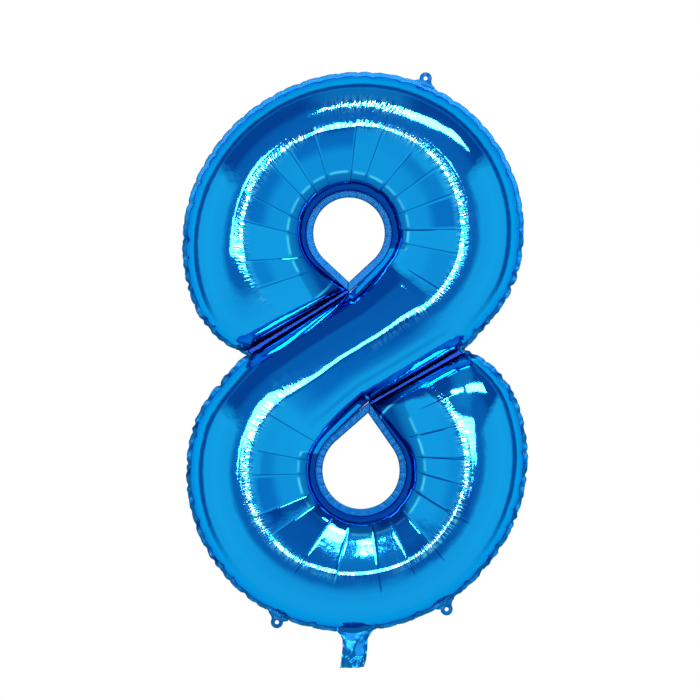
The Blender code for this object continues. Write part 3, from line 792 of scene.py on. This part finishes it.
# painted highlights and painted shade in fine lines along the ridge, following the fine folds' bumps
painted_ridge_highlights = combine(foil_tree, "MULTIPLY", shades(foil_tree, fine_lines, ((0.50, 0.0), (0.56, 1.0))), on_ridge)
painted_ridge_shade = combine(foil_tree, "MULTIPLY", shades(foil_tree, fine_lines, ((0.42, 1.0), (0.48, 0.0))), on_ridge)
FOIL_PAINTED_LIGHT = (  # share of the film that takes each painted shade or painted highlight, and its colour
    (shades(foil_tree, from_hole_mark, WALL_PAINTED_SHADE), (0.0005, 0.04, 0.28, 1)),
    (shades(foil_tree, from_cross_mark, VALLEY_PAINTED_SHADE), (0.001, 0.018, 0.12, 1)),
    (painted_lip_highlight, (0.2, 0.8, 1.0, 1)),
    # painted shade on the facets round the holes and below the stroke's ridge
    (marked("shade"), (0.002, 0.13, 0.52, 1)),
    (shades(foil_tree, marked("to_crease"), CREASE_PAINTED_SHADE), (0.001, 0.08, 0.38, 1)),
    (gleam, (0.25, 0.75, 1.0, 1)),
    (painted_ridge_highlights, (0.55, 0.90, 1.0, 1)),
    (painted_ridge_shade, (0.002, 0.12, 0.5, 1)),
)
foil_colour = (*FOIL_BLUE, 1)
for share, painted_tint in FOIL_PAINTED_LIGHT:
    foil_colour = mixed(foil_tree, share, foil_colour, painted_tint)
foil_tree.links.new(foil_colour, foil_shader.inputs["Base Color"])

# the fine folds, and the painted highlights and shade drawn with them, come and go along the ridge
RIDGE_BAND = 0.036
ridge_folds = np.exp(-(((hole_share - ridge - 0.025) / RIDGE_BAND) ** 2)) * (0.25 + 0.75 * in_loop)
patch_ends, patch_folds = [0.0], [0.0]
while patch_ends[-1] < along[-1]:
    patch_ends.append(patch_ends[-1] + crease_draw.uniform(0.03, 0.10))
    patch_folds.append(crease_draw.choice((0.05, 0.5, 1.0, 1.0)))
ridge_folds *= np.interp(along, patch_ends, patch_folds)[:, None]
# over the top of the upper lobe a second row of fine folds, with their painted highlights and shade, runs
# outside the ridge
top_row = np.exp(-(((hole_share - ridge - 0.20) / 0.055) ** 2))
top_row = top_row * np.exp(-(((film[..., 0] - 0.015) / 0.055) ** 4)) * (film[..., 2] > upper.centre[1])
on_loop = smooth((TOP_END - 20 - station) / 60) + smooth((station - BOTTOM_START - 20) / 60)
from_hole = from_right * (1 - to_bottom) + from_left * to_bottom + 0.3 * (1 - on_loop[:, None])
over_tube = np.repeat(along[:, None], ROWS + 1, axis=1)
FILM_MARKS = {  # what the material reads, each scaled to run from 0 to 1
    "ridge": np.maximum(ridge_folds, top_row),
    "from_hole": from_hole / 0.2,
    "to_crease": to_crease / 0.05,
    "gleam": painted_facet_gleam,
    "shade": painted_facet_shade,
    "from_cross": from_cross / 0.1,
}
for name, side, node in (("front_film", 1, "front_foil"), ("back_film", -1, "back_foil")):
    # the back is the front mirrored, with its rows in the other order so that its faces look outwards
    points = (film * np.array([1, side, 1]))[:, ::side]
    mesh = grid_mesh(name, points, over_tube, from_left[:, ::side])
    for label, values in FILM_MARKS.items():
        values = np.clip(values[:, ::side], 0, 1).astype(np.float32)
        mesh.attributes.new(label, "FLOAT", "POINT").data.foreach_set("value", values.ravel())
    piece = add_piece(name, mesh, blue_foil)
    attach(piece, "envelope")
    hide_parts(node)

# --- Welds ---
# Both sheets are pressed and heat-welded together in a flat band: round the rim, round each hole and along
# each cross seam. A band gathers with the film beside it, so its free edge waves. Its foil is dull and dark;
# in the cross seams' valleys it is painted near-black as shade.
UNDER = 0.0025  # the band's welded side lies this far inside the film's edge
WELD_THICK = 0.00025
BAND_ROWS = 6
RIM_RUFFLE = (0.75, 0.043)  # tilt in radians, and the spacing of its waves
HOLE_RUFFLE = (0.05, 0.016)
seam_foil = foil_material("welded_foil", (0.006, 0.15, 0.36), 0.62, 0.0004)
hole_foil = foil_material("welded_foil_at_holes", (0.004, 0.105, 0.30), 0.62, 0.0002)
# painted shade: the cross seams' welds lie deep in their valleys, so they are painted near-black
painted_shade_valley_foil = foil_material("welded_foil_painted_valley_shade", (0.001, 0.02, 0.16), 0.4, 0.0002)


def selected(piece):
    """Makes a piece the one that operators act on."""
    bpy.ops.object.select_all(action="DESELECT")
    bpy.context.view_layer.objects.active = piece
    piece.select_set(True)


def thicken(piece, thickness, offset):
    wall = piece.modifiers.new("film", "SOLIDIFY")
    wall.thickness = thickness
    wall.offset = offset
    selected(piece)
    bpy.ops.object.modifier_apply(modifier=wall.name)
    piece.select_set(False)


def run_of(points):
    """The distance along a line of points, from its first."""
    return np.concatenate([[0], np.cumsum(np.linalg.norm(np.diff(points, axis=0), axis=1))])


def add_weld(name, node, inner, outer, relief_values, tilt, closed, material):
    """A band from inner to outer points, pulled in by the creases that reach it and tilted out of plane."""
    out = outer - inner
    width = np.linalg.norm(out, axis=1, keepdims=True)
    out = out / width
    count = len(inner)
    shares = np.linspace(0, 1, BAND_ROWS)
    points = np.zeros((count, BAND_ROWS, 3))
    pull = relief_values[:, None]
    for k, share in enumerate(shares):
        reach = (width + UNDER) * share - UNDER
        turned = np.maximum(reach, 0) * (1 - np.cos(tilt))[:, None]
        flat = inner + out * (reach - turned + pull * (1 - 0.2 * share))
        points[:, k, 0] = flat[:, 0]
        points[:, k, 2] = flat[:, 1]
        points[:, k, 1] = (np.maximum(reach, 0) * np.sin(tilt)[:, None])[:, 0]
    u = np.repeat(run_of(inner)[:, None], BAND_ROWS, axis=1)
    v = np.repeat(shares[None, :] * 0.01, count, axis=0)
    if closed:
        points = np.concatenate([points, points[:1]])
        u = np.concatenate([u, u[-1:] + 0.001])
        v = np.concatenate([v, v[:1]])
    piece = add_piece(name, grid_mesh(name, points, u, v), material)
    thicken(piece, WELD_THICK, 0)
    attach(piece, "envelope")
    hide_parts(node)


def waves(run, amplitude, period):
    """A lively ruffle along an edge, as the band's tilt in radians."""
    total = np.zeros(len(run))
    for share, weight in ((1.0, 0.6), (0.62, 0.3), (0.37, 0.25)):
        phase = crease_draw.uniform(0, math.tau)
        total += weight * np.sin(math.tau * run / (period * share) + phase + 1.5 * np.sin(run * 23 + phase))
    return total * amplitude


# outer weld, from the neck's right side round the figure to its left side
NECK_HALF = 0.01875
bottom_relief = relief[BOTTOM_START:, -1][::-1]
right_part = bottom_loop[:, 1, 0] > NECK_HALF
left_part = bottom_loop[:, 1, 0] < -NECK_HALF
right_points = bottom_loop[right_part][::-1]
left_points = bottom_loop[left_part][::-1]
outer_run = np.concatenate([right_points, top_loop[::-1], left_points])
outer_relief = np.concatenate(
    [bottom_relief[right_part][::-1], relief[: TOP_END + 1, 0][::-1], bottom_relief[left_part][::-1]]
)
# its ruffle is calm over the top of the figure and beside the neck
height_share = (outer_run[:, 1, 1] - seam_low[2]) / (seam_high[2] - seam_low[2])
liveliness = 0.18 + 0.95 * smooth((0.80 - height_share) / 0.14)
liveliness *= 1 - 0.45 * smooth((0.10 - height_share) / 0.06)
outer_tilt = waves(run_of(outer_run[:, 0]), *RIM_RUFFLE) * liveliness
add_weld(
    "outer_weld", "outer_seam", outer_run[:, 0], outer_run[:, 1], outer_relief, outer_tilt, False, seam_foil
)
for name, node, lobe, loop, values in (
    ("upper_hole_weld", "upper_hole_seam", upper, top_loop, relief[: TOP_END + 1, -1]),
    ("lower_hole_weld", "lower_hole_seam", lower, bottom_loop, relief[BOTTOM_START:, 0][::-1]),
):
    tip_inner, tip_outer = [], []
    last_angle = lobe.tip_angle + lobe.tip_spread
    for share in np.linspace(0, 1, 30)[1:]:
        angle = last_angle + (lobe.tip_angle - last_angle) * share
        tip_inner.append(lobe.hole_edge(angle, HOLE_SEAM))
        tip_outer.append(lobe.hole_edge(angle))
    inner = np.vstack([loop[:, 2], tip_inner])
    outer = np.vstack([loop[:, 3], tip_outer])
    run = run_of(inner)
    tilt = waves(run, *HOLE_RUFFLE) * smooth(run / 0.02) * smooth((run[-1] - run) / 0.02)
    pulls = np.concatenate([values, np.zeros(len(tip_inner))]) * 0.4
    add_weld(name, node, inner, outer, pulls, tilt, True, hole_foil)
CROSS_POINTS = 80
for name, node, arm, tip_side, notch_side in (
    ("left_cross_weld", "left_cross_seam", top_loop[0], upper_tip, right_edge[BOTTOM_START]),
    ("right_cross_weld", "right_cross_seam", bottom_loop[0], lower_tip, left_edge[TOP_END]),
):
    share = np.linspace(0, 1, CROSS_POINTS)[:, None]
    inner = arm[0] + (arm[2] - arm[0]) * share
    outer = notch_side + (tip_side - notch_side) * share
    out = (outer - inner) / np.linalg.norm(outer - inner, axis=1, keepdims=True)
    outer = outer + out * UNDER
    flat = np.zeros(CROSS_POINTS)
    add_weld(name, node, inner, outer, flat, flat, False, painted_shade_valley_foil)

# --- Neck ---
# The filling tail is cut from the same two sheets and welded down both sides. Its film is thin and slack, so
# it is crumpled, its mouth kicks out to the left, and it bends at its root.
tail_foil = foil_material("tail_foil", (0.006, 0.13, 0.36), 0.36, 0.0006)
NECK_ROOT = 0.010  # the neck's film starts this far up inside the envelope
NECK_END = -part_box("neck_front_film")[0][2]
NECK_WELD = 0.003
NECK_FILM = 0.00012
NECK_FLAT = 0.00022  # half the gap between the two sheets where they lie flat
NECK_BELLY = 0.0022  # how far each sheet stands out along the neck's middle
ROOT_BELLY = 0.001  # and this much more where it leaves the envelope
VALVE_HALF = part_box("valve_front_sleeve")[1][0]
valve_depths = (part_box("valve_front_sleeve")[0][1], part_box("valve_back_sleeve")[1][1])
VALVE_ROOM = max(abs(y) for y in valve_depths) + 0.0004  # the neck's film stays this far out over the valve
NECK_COLUMNS = 48
NECK_RUNS = 96
NECK_DENTS = 34
neck_draw = random.Random(21)
dents = [  # each dent's place across and down, its size, its depth and its turn
    (
        neck_draw.uniform(-0.017, 0.017),
        neck_draw.uniform(-NECK_END, -0.006),
        neck_draw.uniform(0.003, 0.009),
        neck_draw.uniform(-0.0024, 0.0024),
        neck_draw.uniform(0, math.pi),
    )
    for _ in range(NECK_DENTS)
]


def neck_half_width(z):
    """Flared at the root, straight below, a little narrower at the mouth."""
    flare = 0.009 * smooth((z + 0.020) / 0.020) ** 1.5
    return NECK_HALF + flare - 0.0008 * smooth((-z - 0.045) / 0.013)


def crumple(x, z):
    """How far all the dents push the film in or out at one place."""
    total = 0.0
    for at_x, at_z, size, depth, turn in dents:
        along_fold = (x - at_x) * math.cos(turn) + (z - at_z) * math.sin(turn)
        across_fold = -(x - at_x) * math.sin(turn) + (z - at_z) * math.cos(turn)
        total += depth * math.exp(-abs(across_fold) / size * 1.6 - (along_fold / (2.4 * size)) ** 2)
    return total


def neck_sway(z):
    """The tail's middle wanders front to back, and its mouth kicks to the left."""
    shift = -0.002 * smooth((-z - 0.026) / 0.024) - 0.003 * smooth((-z - 0.047) / 0.013)
    return shift, 0.0016 * math.sin(z * 95) * smooth((-z - 0.004) / 0.05)


for name, side, nodes in (
    ("neck_front_sheet", -1, ("neck_front_film", "neck_left_weld")),
    ("neck_back_sheet", 1, ("neck_back_film", "neck_right_weld")),
):
    points = np.zeros((NECK_RUNS + 1, NECK_COLUMNS + 1, 3))
    for i in range(NECK_RUNS + 1):
        z = NECK_ROOT - (NECK_ROOT + NECK_END) * i / NECK_RUNS
        half = neck_half_width(z)
        shift, sway = neck_sway(z)
        for j in range(NECK_COLUMNS + 1):
            share = -math.cos(math.pi * j / NECK_COLUMNS)
            x = half * share
            slack = math.sqrt(max(0.0, 1 - (x / (half - NECK_WELD)) ** 2))
            belly = (NECK_BELLY + ROOT_BELLY * smooth((z + 0.004) / 0.012)) * slack
            crease = crumple(-side * x, z) * smooth((-z + 0.004) / 0.008)
            lift = NECK_FLAT + belly + max(-0.8 * belly, crease * slack)
            if abs(x + shift) < VALVE_HALF + 0.001:
                lift = max(lift, VALVE_ROOM - 0.8 * side * sway * abs(share))
            edge_wave = 0.0010 * math.sin(z * 420 + 2 * share) * (abs(share) ** 6) * smooth(-z / 0.01)
            mouth_edge = (0.0006 * share + 0.0003 * math.sin(9 * share)) * smooth((-z - 0.05) / 0.008)
            points[i, j] = (x + shift, side * lift + sway * abs(share) + edge_wave, z + mouth_edge)
    if side > 0:
        points = points[:, ::-1]
    u = np.repeat(np.linspace(0, NECK_ROOT + NECK_END, NECK_RUNS + 1)[:, None], NECK_COLUMNS + 1, axis=1)
    v = np.repeat(np.linspace(0, 2 * NECK_HALF, NECK_COLUMNS + 1)[None, :], NECK_RUNS + 1, axis=0)
    piece = add_piece(name, grid_mesh(name, points, u, v), tail_foil)
    thicken(piece, NECK_FILM, 1)
    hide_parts(*nodes)
    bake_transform(piece)

# --- Valve ---
# Two leaves of soft, hazy polythene, welded to each other down both sides and to the sheets at the neck's
# mouth. They run up through the neck into the envelope, where the gas presses them shut.
MILKY, CLEAR = (0.78, 0.83, 0.86, 1), (0.92, 0.94, 0.95, 1)
clear_film = bpy.data.materials.new("clear_valve_film")
clear_film.use_nodes = True
valve_tree = clear_film.node_tree
valve_shader = valve_tree.nodes["Principled BSDF"]
valve_shader.inputs["Roughness"].default_value = 0.32
valve_shader.inputs["Alpha"].default_value = 0.55
valve_place = valve_tree.nodes.new("ShaderNodeTexCoord")
haze = valve_tree.nodes.new("ShaderNodeTexNoise")
haze.inputs["Scale"].default_value = 160
haze.inputs["Detail"].default_value = 4
valve_tree.links.new(valve_place.outputs["Object"], haze.inputs["Vector"])
valve_tree.links.new(mixed(valve_tree, haze.outputs["Fac"], MILKY, CLEAR), valve_shader.inputs["Base Color"])
valve_dents = valve_tree.nodes.new("ShaderNodeBump")
valve_dents.inputs["Distance"].default_value = 0.0003
valve_tree.links.new(haze.outputs["Fac"], valve_dents.inputs["Height"])
valve_tree.links.new(valve_dents.outputs["Normal"], valve_shader.inputs["Normal"])
for node in ("valve_front_sleeve", "valve_back_sleeve", "valve_front_leaf", "valve_back_leaf"):
    valve_object = bpy.data.objects[node]
    valve_object.data.materials.clear()
    valve_object.data.materials.append(clear_film)

# --- Hanging tabs ---
# Each tab is a tongue of the outer weld, cut from the same two sheets and welded all over, with a punched
# hole for a ribbon. It bends where it leaves the rim.
TAB_ROUND = 0.0092
TAB_HOLE = 0.003
TAB_REACH = 0.0165
TAB_ROOT = 0.032
TAB_THICK = 0.0003
TAB_RINGS = 7
TAB_POINTS = 96
TABS = (  # name, lobe, direction from the lobe's middle, lean, and the draw that its bend comes from
    ("top_tab", upper, math.radians(65), math.radians(18), 3),
    ("lower_left_tab", lower, math.radians(62.5), math.radians(14), 5),
    ("lower_right_tab", lower, math.radians(122.5), math.radians(-21), 9),
)


def tab_edge(lean):
    """A round end on a flared root, as evenly spaced points, in a frame with +Y out from the seam."""
    end = (TAB_REACH - TAB_ROUND) * np.array([-math.sin(lean), math.cos(lean)])
    arc = [end + TAB_ROUND * unit(turn + lean) for turn in np.linspace(-0.26, math.pi + 0.26, 40)]
    corners = []
    for waist_point, root_x in ((arc[-1], -TAB_ROOT / 2), (arc[0], TAB_ROOT / 2)):
        root = np.array([root_x, -0.001])
        control = np.array([1.1 * waist_point[0], 0.0025])
        t = np.linspace(0, 1, 12)[1:, None]
        corners.append(list((1 - t) ** 2 * waist_point + 2 * t * (1 - t) * control + t * t * root))
    line = corners[1][::-1] + arc + corners[0]
    line = [np.array([TAB_ROOT / 2, -0.004])] + line + [np.array([-TAB_ROOT / 2, -0.004])]
    line = np.array(line + line[:1])
    run = run_of(line)
    even = np.linspace(0, run[-1], TAB_POINTS + 1)
    return np.stack([np.interp(even, run, line[:, k]) for k in (0, 1)], axis=1), end


for name, lobe, angle, lean, seed in TABS:
    place = lobe.outline(angle, -0.0008)
    tangent = lobe.outline(angle - 0.02) - lobe.outline(angle + 0.02)
    tangent /= length(tangent)
    out = np.array([-tangent[1], tangent[0]])
    edge, end = tab_edge(lean)
    points = np.zeros((TAB_POINTS + 1, TAB_RINGS, 3))
    tab_draw = random.Random(seed)
    tilt, phase = tab_draw.uniform(-0.12, 0.12), tab_draw.uniform(0, math.tau)
    for i in range(TAB_POINTS + 1):
        toward = math.atan2(edge[i, 1] - end[1], edge[i, 0] - end[0])
        rim = end + TAB_HOLE * unit(toward)
        for k in range(TAB_RINGS):
            spot = rim + (edge[i] - rim) * k / (TAB_RINGS - 1)
            flat = place + tangent * spot[0] + out * spot[1]
            rise = smooth(spot[1] / 0.006)
            bow = 0.0012 * math.sin(spot[0] * 330 + phase) * rise + tilt * spot[1] * rise
            points[i, k] = (flat[0], bow, flat[1])
    points[-1] = points[0]
    u = np.repeat(np.arange(TAB_POINTS + 1)[:, None] * 0.0008, TAB_RINGS, axis=1)
    v = np.repeat(np.arange(TAB_RINGS)[None, :] * 0.001, TAB_POINTS + 1, axis=0)
    mesh = grid_mesh(f"{name}_film", points, u, v)
    piece = add_piece(f"{name}_film", mesh, hole_foil)
    selected(piece)
    bpy.ops.object.mode_set(mode="EDIT")
    bpy.ops.mesh.select_all(action="SELECT")
    bpy.ops.mesh.remove_doubles(threshold=0.00005)
    bpy.ops.object.mode_set(mode="OBJECT")
    thicken(piece, TAB_THICK, 0)
    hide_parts(name)
    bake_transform(piece)
